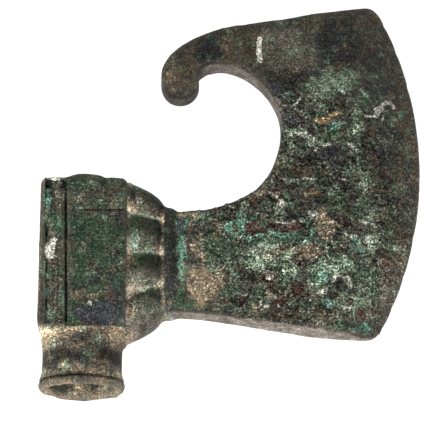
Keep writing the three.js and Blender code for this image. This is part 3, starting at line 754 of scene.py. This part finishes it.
def field(tree, where, size, shift=0.0, detail=3.0, roughness=0.6):
    """Noise around 0.5, with lumps of the given size in metres."""
    scale = 1 / size if isinstance(size, float) else maths(tree, "DIVIDE", 1.0, size)
    if isinstance(shift, float):
        offset = (shift, shift, shift)
    else:
        offset = new_node(tree, "ShaderNodeCombineXYZ", {"X": shift, "Y": shift, "Z": shift}).outputs[0]
    moved = new_node(tree, "ShaderNodeVectorMath", {0: where, 1: offset}, operation="ADD").outputs[0]
    links = {"Vector": moved, "Scale": scale, "Detail": detail, "Roughness": roughness}
    return new_node(tree, "ShaderNodeTexNoise", links).outputs[0]


def plate_pattern(tree, where):
    """Plates of crust (0 or 1) and the rims along their edges (0 to 1)."""
    level = field(tree, where, PLATE_SIZE, 0.21, detail=5.0, roughness=0.64)
    plate = remap(tree, level, 0.487, 0.507, smooth=True)
    from_rim = maths(tree, "ABSOLUTE", minus(tree, level, 0.51))
    return plate, remap(tree, from_rim, 0.018, 0.0, smooth=True)


def pit_pattern(tree, where):
    """Round pits (1 in the middle) in some areas only."""
    cells = new_node(tree, "ShaderNodeTexVoronoi", {"Vector": where, "Scale": 1 / PIT_SIZE})
    near = cells.outputs["Distance"]
    area = remap(tree, field(tree, where, 0.009, 0.37), 0.5, 0.58, smooth=True)
    return times(tree, remap(tree, near, 0.42, 0.12, smooth=True), area)


def vein_pattern(tree, where, size, shift, width):
    """1 on thin, winding lines and 0 beside them."""
    level = minus(tree, field(tree, where, size, shift, detail=3.0, roughness=0.6), 0.5)
    return remap(tree, maths(tree, "ABSOLUTE", level), width, 0.0, smooth=True)


def crease_pattern(tree, where):
    return vein_pattern(tree, where, 0.007, 0.83, 0.016)


def ridge_pattern(tree, where):
    area = remap(tree, field(tree, where, 0.01, 0.77), 0.46, 0.54, smooth=True)
    return times(tree, vein_pattern(tree, where, 0.0046, 0.19, 0.02), area)


# %% The relief tree
def relief_tree():
    inputs = [("Geometry", "Geometry", None), ("Crust height", "Float", 0.0005),
              ("Pit depth", "Float", 0.0004), ("Grain height", "Float", 0.0003),
              ("Line height", "Float", 0.0003), ("Unevenness", "Float", 0.0004),
              ("Material", "Material", None)]
    output = ("Geometry", "Geometry")
    tree, given, result = new_tree("Crust relief", "GeometryNodeTree", inputs, output)
    where = new_node(tree, "GeometryNodeInputPosition").outputs[0]
    normal = new_node(tree, "GeometryNodeInputNormal").outputs[0]
    crust = stored(tree, "crust")
    plate, rim = plate_pattern(tree, where)
    level = plus(tree, minus(tree, plate, 0.4), times(tree, rim, 0.5))
    height = times(tree, times(tree, level, given["Crust height"]), crust)
    depth = times(tree, pit_pattern(tree, where), given["Pit depth"])
    strength = plus(tree, times(tree, crust, 0.8), 0.12)
    height = minus(tree, height, times(tree, depth, strength))
    fine = minus(tree, field(tree, where, 0.0022, 0.11, 3.0, 0.7), 0.5)
    fine = times(tree, times(tree, fine, given["Grain height"]), strength)
    height = plus(tree, height, times(tree, fine, 6.0))
    lines = minus(tree, ridge_pattern(tree, where), crease_pattern(tree, where))
    lines = times(tree, times(tree, lines, given["Line height"]), crust)
    height = plus(tree, height, lines)
    swell = minus(tree, field(tree, where, 0.016, 0.05, 2.0), 0.5)
    height = plus(tree, height, times(tree, swell, given["Unevenness"]))
    facing = new_node(tree, "ShaderNodeSeparateXYZ", {0: normal}).outputs["Z"]
    flat = remap(tree, maths(tree, "ABSOLUTE", facing), 0.35, 0.9, 0.2, 1.0, smooth=True)
    height = plus(tree, times(tree, height, flat), stored(tree, "extra_height"))
    height = times(tree, height, remap(tree, facing, -0.9, -0.3, 0.3, 1.0, smooth=True))
    offset = new_node(tree, "ShaderNodeVectorMath", {0: normal, "Scale": height}, operation="SCALE")
    links = {"Geometry": given["Geometry"], "Offset": offset.outputs[0]}
    moved = new_node(tree, "GeometryNodeSetPosition", links)
    end_tree(tree, moved.outputs[0], given["Material"], result)
    return tree


# %% [markdown]
# ## Marks in named places
#
# Some marks are single: four blisters that have burst and left a ring, a step across the front panel, a
# groove round the mouth and the grain of the slats in the channel. They are worked out as extra heights in
# the casting's frame, and the relief tree adds them to its own.

# %% Single marks
# Middle X and Y, radius and rise of each blister.
BURST_BLISTERS = [
    (81.8, 50.3, 2.9, 0.6), (95, 45.1, 3.6, 0.4), (113.9, 46.5, 3.4, 0.5), (132, 106.5, 1.6, 0.4),
]
PANEL_STEP_Y, STEP_DEPTH, STEP_WIDTH = 78.7, 0.35, 0.45
MOUTH_GROOVE_Y, GROOVE_DEPTH, GROOVE_WIDTH = 4.3, 0.5, 0.6
RING_WIDTH = 0.6


def extra_heights(mesh, masks):
    """Heights in millimetres of the marks that stand in one place only."""
    points, normals = in_casting(mesh)
    x, y, z = points.T
    front = ramp(normals[:, 2], 0.2, 0.6)
    height = 0.3 * np.maximum(masks["white"] - 0.5, 0) + 0.3 * np.maximum(masks["mint"] - 0.5, 0)
    height += 0.3 * np.maximum(masks["ochre"] - 0.5, 0) - 0.35 * np.maximum(masks["red"] - 0.5, 0)
    for middle_x, middle_y, radius, rise in BURST_BLISTERS:
        away = np.hypot(x - middle_x, y - middle_y) + 0.4 * cloud(points, 2, 61, 1)
        height += front * rise * band(away, radius, RING_WIDTH)
        height -= front * rise * ramp(radius - away, 0, 1.2) * (1.0 - 0.8 * ramp(away, 1.4, 0.6))
    panel = front * ramp(x, -7, -6) * ramp(x, 19.5, 19) * ramp(z, 17, 17.6)
    wave = 0.25 * cloud(points, 6, 62, 2)
    height -= panel * STEP_DEPTH * band(y - PANEL_STEP_Y - wave, 0, STEP_WIDTH)
    height += panel * 0.15 * ramp(y, PANEL_STEP_Y, PANEL_STEP_Y + 1)
    groove = GROOVE_DEPTH * ramp(x, 24, 20) * band(y, MOUTH_GROOVE_Y, GROOVE_WIDTH)
    height -= groove * ramp(np.hypot(x, z), 17, 18)
    channel, _ = channel_zone(points)
    streak = cloud(points * np.array([1, 0.07, 1]), 0.9, 63, 2)
    height += channel * (1 - masks["gap"]) * 0.25 * streak
    return height


masks = painted(axe.data)
masks["extra_height"] = extra_heights(axe.data, masks) * MILLIMETRE
keep_masks(axe.data, {name: masks[name] for name in ("crust", "extra_height")})
relief = {"Crust height": 0.0007, "Pit depth": 0.0005, "Grain height": 0.0003, "Line height": 0.0003,
          "Unevenness": 0.0016, "Material": patina}
axe.data = mesh_after_nodes(axe, relief_tree(), **relief)
tell("relief raised")

# %% [markdown]
# ## Fewer triangles
#
# The even net has far more faces than the flat parts need. Decimate collapses edges where the surface is flat
# and keeps them where there is relief. A vertex group spares the front, where the fine veins are.

# %% Decimate
MOST_TRIANGLES = 194000
LEVELS = 4
LEAST_WEIGHT, WEIGHT_STEP = 0.4, 0.15

points, normals = in_casting(axe.data)
spared = ramp(normals[:, 2], -0.5, -0.1) * ramp(points[:, 2], -8, -3)
group = axe.vertex_groups.new(name="may_go")
for level in range(LEVELS + 1):
    chosen = np.flatnonzero(np.round(LEVELS * (1 - spared)) == level).tolist()
    group.add(chosen, LEAST_WEIGHT + WEIGHT_STEP * level, "REPLACE")
triangles = sum(len(p.vertices) - 2 for p in axe.data.polygons)
axe.data = mesh_after(axe, "DECIMATE", ratio=MOST_TRIANGLES / triangles, use_collapse_triangulate=True,
                      vertex_group="may_go", vertex_group_factor=1.0)
axe.vertex_groups.clear()
axe.data.validate()
points, normals = in_casting(axe.data)
tell("triangles:", triangles, "->", len(axe.data.polygons), "of which facing front",
     round((normals[:, 2] > 0.5).mean(), 2))


# %% Masks on the final mesh
def hollowness(mesh, rounds=4):
    """Above 0 in hollows and below 0 on edges, in millimetres."""
    points = vertex_values(mesh, "co")
    count = len(points)
    here, there = ends_of_edges(mesh)
    total = np.bincount(here, minlength=count) + np.bincount(there, minlength=count)
    smooth = points.copy()
    for _ in range(rounds):
        for axis in range(3):
            pull = np.bincount(here, smooth[there, axis], count)
            smooth[:, axis] = (pull + np.bincount(there, smooth[here, axis], count)) / total
    return ((smooth - points) * vertex_values(mesh, "normal")).sum(1) / MILLIMETRE


masks = painted(axe.data)
bend = hollowness(axe.data)
in_blade = ramp(in_casting(axe.data)[0][:, 0], 36, 42)
# Hollows get painted shade; edges get light crust rims, partly a painted highlight.
masks["hollow"] = np.clip(bend / 0.25, 0, 1) * (0.3 + 0.7 * in_blade)
masks["proud"] = np.clip(-bend / 0.3, 0, 1)
for name in [a.name for a in axe.data.attributes if a.name in ("crust", "extra_height")]:
    axe.data.attributes.remove(axe.data.attributes[name])
keep_masks(axe.data, masks)
axe.data.polygons.foreach_set("use_smooth", [True] * len(axe.data.polygons))
tell("masks stored:", ", ".join(masks))
for finish, mask in masks.items():
    print(f"    {finish:8s} {100 * mask.mean():5.1f} % of the skin")

# %% [markdown]
# ## The patina
#
# A patina is a stack of layers, so the material is built as one: a dark oxide at the bottom, and over it one
# layer after another, each with two shades, a mask and a grain. All layers share one node group. It adds
# noise to the mask before cutting it off, so that a mask of one half becomes a sprinkle that covers about one
# half of the surface.

# %% Colours
VIVIDNESS = 1.3


def shade(red, green, blue):
    """A colour from its 0 to 255 screen values."""
    def linear(value):
        value /= 255
        return value / 12.92 if value <= 0.04045 else ((value + 0.055) / 1.055) ** 2.4
    return (linear(red), linear(green), linear(blue), 1)


def vivid(colour):
    """The same colour further from grey."""
    grey = sum(colour[:3]) / 3
    return tuple(max(0.002, grey + VIVIDNESS * (part - grey)) for part in colour[:3]) + (1,)


def mixed(tree, share, first, second):
    return new_node(tree, "ShaderNodeMix", {0: share, 6: first, 7: second}, data_type="RGBA").outputs[2]


# %% The layer group
def patina_layer():
    inputs = [("Under", "Color", (0, 0, 0, 1)), ("Shade", "Color", (1, 1, 1, 1)),
              ("Second shade", "Color", (1, 1, 1, 1)), ("Amount", "Float", 0.0), ("Grain", "Float", 0.002),
              ("Raggedness", "Float", 2.5), ("Softness", "Float", 0.25), ("Shift", "Float", 0.0)]
    tree, given, result = new_tree("Patina layer", "ShaderNodeTree", inputs, ("Colour", "Color"))
    where = new_node(tree, "ShaderNodeTexCoord").outputs["Object"]
    rag = field(tree, where, given["Grain"], given["Shift"], detail=3.0, roughness=0.55)
    rag = times(tree, minus(tree, rag, 0.5), given["Raggedness"])
    level = plus(tree, given["Amount"], rag)
    low = minus(tree, 0.5, given["Softness"])
    high = plus(tree, 0.5, given["Softness"])
    cover = remap(tree, level, low, high, smooth=True)
    tone = field(tree, where, given["Grain"], plus(tree, given["Shift"], 0.31), detail=2.0)
    own = mixed(tree, remap(tree, tone, 0.4, 0.6), given["Shade"], given["Second shade"])
    tree.links.new(mixed(tree, cover, given["Under"], own), result["Colour"])
    return tree


layer_group = patina_layer()
print("layer group with", len(layer_group.nodes), "nodes")

# %% The stack of layers
LAYERS = [
    # mask, shade, second shade, grain in metres, raggedness, softness
    ("brown", shade(90, 79, 64), shade(76, 67, 54), 0.008, 2.6, 0.45),
    ("black", shade(44, 44, 44), shade(54, 54, 58), 0.008, 2.6, 0.4),
    ("dust", shade(104, 98, 90), shade(88, 84, 77), 0.005, 2.0, 0.45),
    ("green", shade(50, 78, 58), shade(76, 98, 76), 0.008, 2.6, 0.35),
    ("red", shade(92, 58, 54), shade(74, 52, 48), 0.006, 2.2, 0.3),
    ("tan", shade(152, 135, 114), shade(128, 113, 94), 0.006, 2.6, 0.35),
    ("pale", shade(110, 128, 108), shade(130, 143, 122), 0.0055, 2.8, 0.35),
    ("mint", shade(110, 152, 134), shade(86, 128, 112), 0.005, 2.4, 0.3),
    ("blue", shade(74, 79, 86), shade(64, 67, 72), 0.006, 2.0, 0.35),
    ("ochre", shade(176, 148, 104), shade(150, 124, 88), 0.004, 1.6, 0.3),
    ("white", shade(206, 202, 192), shade(176, 176, 166), 0.004, 1.8, 0.25),
    # Bare metal, and painted light on down-facing walls and lit lobes.
    ("bare", shade(143, 134, 126), shade(110, 99, 90), 0.005, 1.5, 0.4),
]

patina.use_nodes = True
tree = patina.node_tree
shader = tree.nodes["Principled BSDF"]
where = new_node(tree, "ShaderNodeTexCoord").outputs["Object"]


def mask_node(name):
    return new_node(tree, "ShaderNodeAttribute", attribute_name=name).outputs["Fac"]


LAYER_SHIFT = 0.137
wide_tone = remap(tree, field(tree, where, 0.008, 0.0, detail=4.0), 0.4, 0.6)
under = mixed(tree, wide_tone, shade(54, 54, 50), shade(73, 73, 67))
for index, (name, first, second, grain_size, ragged, soft) in enumerate(LAYERS):
    values = {"Under": under, "Shade": vivid(first), "Second shade": vivid(second),
              "Amount": mask_node(name), "Grain": grain_size, "Raggedness": ragged, "Softness": soft,
              "Shift": LAYER_SHIFT * (index + 1)}
    under = new_node(tree, "ShaderNodeGroup", values, node_tree=layer_group).outputs["Colour"]

# %% Relief in the colours
crust = mask_node("crust")
plate, rim = plate_pattern(tree, where)
gap = times(tree, minus(tree, 1.0, plate), crust)
crease = times(tree, crease_pattern(tree, where), crust)
ridge = maths(tree, "MAXIMUM", times(tree, rim, 0.6), ridge_pattern(tree, where))
ridge = times(tree, ridge, crust)
colour = mixed(tree, times(tree, ridge, 0.25), under, shade(140, 154, 138))
pit = times(tree, pit_pattern(tree, where), crust)
# Gaps, creases and pits darkened as painted shade; ridges lightened, partly pale rims and partly painted
# highlight.
relief_tone = minus(tree, times(tree, ridge, 0.35), times(tree, gap, 0.25))
relief_tone = minus(tree, relief_tone, times(tree, crease, 0.4))
relief_tone = minus(tree, relief_tone, times(tree, pit, 0.45))

# %% [markdown]
# ## Mottling
#
# Patina is speckled down to a fraction of a millimetre. Two noise fields, a coarse and a fine one, make the
# colour darker and lighter. They go through an exponential, so that a step up and a step down change it by
# the same share. Where the fine one lightens, most of what it adds is grey, because a light speck is mineral
# dust and no brighter green.

# %% Mottling
# The share of a light speck that keeps the skin's own colour, and how much blue its grey has.
OWN_COLOUR, GREY_BLUE = 0.2, 0.88
coarse = minus(tree, field(tree, where, 0.009, 0.63, detail=7.0, roughness=0.85), 0.5)
fine = minus(tree, field(tree, where, 0.0009, 0.47, detail=2.0, roughness=0.8), 0.5)
contrast = plus(tree, times(tree, crust, 0.2), 2.4)
fine_contrast = plus(tree, times(tree, mask_node("grain"), 6.5), 5.0)
tone = times(tree, minus(tree, mask_node("tone"), 0.5), 4.0)
tone = plus(tree, tone, relief_tone)
factor = maths(tree, "EXPONENT", plus(tree, times(tree, coarse, contrast), tone))
grain = maths(tree, "EXPONENT", times(tree, fine, fine_contrast))
lift = maths(tree, "MAXIMUM", minus(tree, grain, 1.0), 0.0)
own = plus(tree, maths(tree, "MINIMUM", grain, 1.0), times(tree, lift, OWN_COLOUR))
own = times(tree, factor, own)
grey = times(tree, times(tree, factor, lift), 1 - OWN_COLOUR)
grey = times(tree, grey, new_node(tree, "ShaderNodeRGBToBW", {0: colour}).outputs[0])
parts = {"X": grey, "Y": grey, "Z": times(tree, grey, GREY_BLUE)}
added = new_node(tree, "ShaderNodeCombineXYZ", parts).outputs[0]
colour = new_node(tree, "ShaderNodeVectorMath", {0: colour, "Scale": own}, operation="SCALE").outputs[0]
colour = new_node(tree, "ShaderNodeVectorMath", {0: colour, 1: added}, operation="ADD").outputs[0]
specks = field(tree, where, 0.0013, 0.71, detail=2.0, roughness=0.6)
light_specks = remap(tree, specks, 0.64, 0.72)
amount = plus(tree, times(tree, crust, 0.2), 0.1)
colour = mixed(tree, times(tree, light_specks, amount), colour, shade(164, 164, 148))

# %% Washes over the patina, and the surface
# Mask, most cover and shade.
WASHES = [
    # In order: painted shade in hollows, rims and painted highlight on edges, a painted shadow line, painted
    # shade in gaps.
    ("hollow", 0.3, shade(30, 30, 27)),
    ("proud", 0.25, shade(140, 130, 116)),
    ("edge_shadow", 0.7, shade(34, 33, 30)),
    ("gap", 0.65, shade(16, 15, 14)),
]
for name, cover, wash in WASHES:
    colour = mixed(tree, times(tree, mask_node(name), cover), colour, wash)
tree.links.new(colour, shader.inputs["Base Color"])

bump_height = plus(tree, fine, times(tree, coarse, 2.0))
bump = new_node(tree, "ShaderNodeBump", {"Strength": 1.0, "Distance": 0.001, "Height": bump_height})
tree.links.new(bump.outputs[0], shader.inputs["Normal"])
tree.links.new(remap(tree, crust, 0.0, 1.0, 0.55, 0.85), shader.inputs["Roughness"])
shader.inputs["Metallic"].default_value = 0.0
shader.inputs["Specular IOR Level"].default_value = 0.15
axe.data.materials.clear()
axe.data.materials.append(patina)
print("material nodes:", len(tree.nodes))

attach(axe, "root")
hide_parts("axe_head")
tell("skin placed, lowest point", round(vertex_values(axe.data, "co")[:, 2].min() * 1000, 2), "mm")

# %% [markdown]
# ## The table and the light
#
# The axe lies on a plain white table under soft, even light, as finds are shown in a museum's catalogue. Such
# tables are sheets of white acrylic that glow a little, so that no shadow is left. A sky that is
# weaker overhead gives most of the light. One large lamp stands towards the socket's mouth, so that faces
# turned that way are a little lighter.

# %% Table, light and camera
scene = bpy.context.scene
REACH = 3.0
table_mesh = bpy.data.meshes.new("table")
table_mesh.from_pydata([(-REACH, -REACH, 0), (REACH, -REACH, 0), (REACH, REACH, 0), (-REACH, REACH, 0)], [],
                       [(0, 1, 2, 3)])
table = bpy.data.objects.new("table", table_mesh)
scene.collection.objects.link(table)
acrylic = bpy.data.materials.new("white_acrylic")
acrylic.use_nodes = True
sheet = acrylic.node_tree.nodes["Principled BSDF"].inputs
sheet["Base Color"].default_value = (0.3, 0.3, 0.3, 1)
sheet["Roughness"].default_value = 0.9
sheet["Specular IOR Level"].default_value = 0.0
sheet["Emission Color"].default_value = (1, 1, 1, 1)
sheet["Emission Strength"].default_value = 1.0
table_mesh.materials.append(acrylic)

world = bpy.data.worlds.new("soft_sky")
scene.world = world
world.use_nodes = True
sky_tree = world.node_tree
background = sky_tree.nodes["Background"]
direction = new_node(sky_tree, "ShaderNodeTexCoord").outputs["Generated"]
height = new_node(sky_tree, "ShaderNodeSeparateXYZ", {0: direction}).outputs["Z"]
background.inputs["Color"].default_value = (1, 1, 1, 1)
sky_tree.links.new(remap(sky_tree, height, 0.1, 0.95, 1.0, 0.2), background.inputs["Strength"])

# Places in the casting's frame in millimetres, and the lamp's size in metres and power in watts.
AIM = np.array([58.866, 81.530, 0.0])
LAMP_PLACE = (-250, -1150, 520)
LAMP_SIZE, LAMP_POWER = 0.9, 24
CAMERA_AWAY = 900
SENSOR_WIDTH, LENS = 36, 166.67
CAMERA_LEAN = math.radians(18)


def look(thing, place, aim, up):
    """Puts a lamp or camera at a place, turned to the aim. All in the casting's frame."""
    place, aim = to_row(place), to_row(aim)
    back = (place - aim).normalized()
    right = Vector(turn @ np.array(up, float)).cross(back).normalized()
    turned = Matrix((right, back.cross(right), back)).transposed().to_4x4()
    thing.matrix_world = Matrix.Translation(place) @ turned


lamp_data = bpy.data.lights.new("key", "AREA")
lamp_data.shape = "DISK"
lamp_data.size = LAMP_SIZE
lamp_data.energy = LAMP_POWER
lamp = bpy.data.objects.new("key", lamp_data)
scene.collection.objects.link(lamp)
look(lamp, LAMP_PLACE, AIM, (0, 0, 1))

camera_data = bpy.data.cameras.new("camera")
camera_data.sensor_width = SENSOR_WIDTH
camera_data.lens = LENS
camera = bpy.data.objects.new("camera", camera_data)
scene.collection.objects.link(camera)
lean = np.array([0, -math.sin(CAMERA_LEAN), math.cos(CAMERA_LEAN)])
look(camera, AIM + CAMERA_AWAY * lean, AIM, (0, 1, 0))
camera_data.clip_start = 0.01
camera_data.clip_end = 20
scene.camera = camera
scene.view_settings.view_transform = "Standard"
print("camera at", [round(v, 3) for v in camera.location])
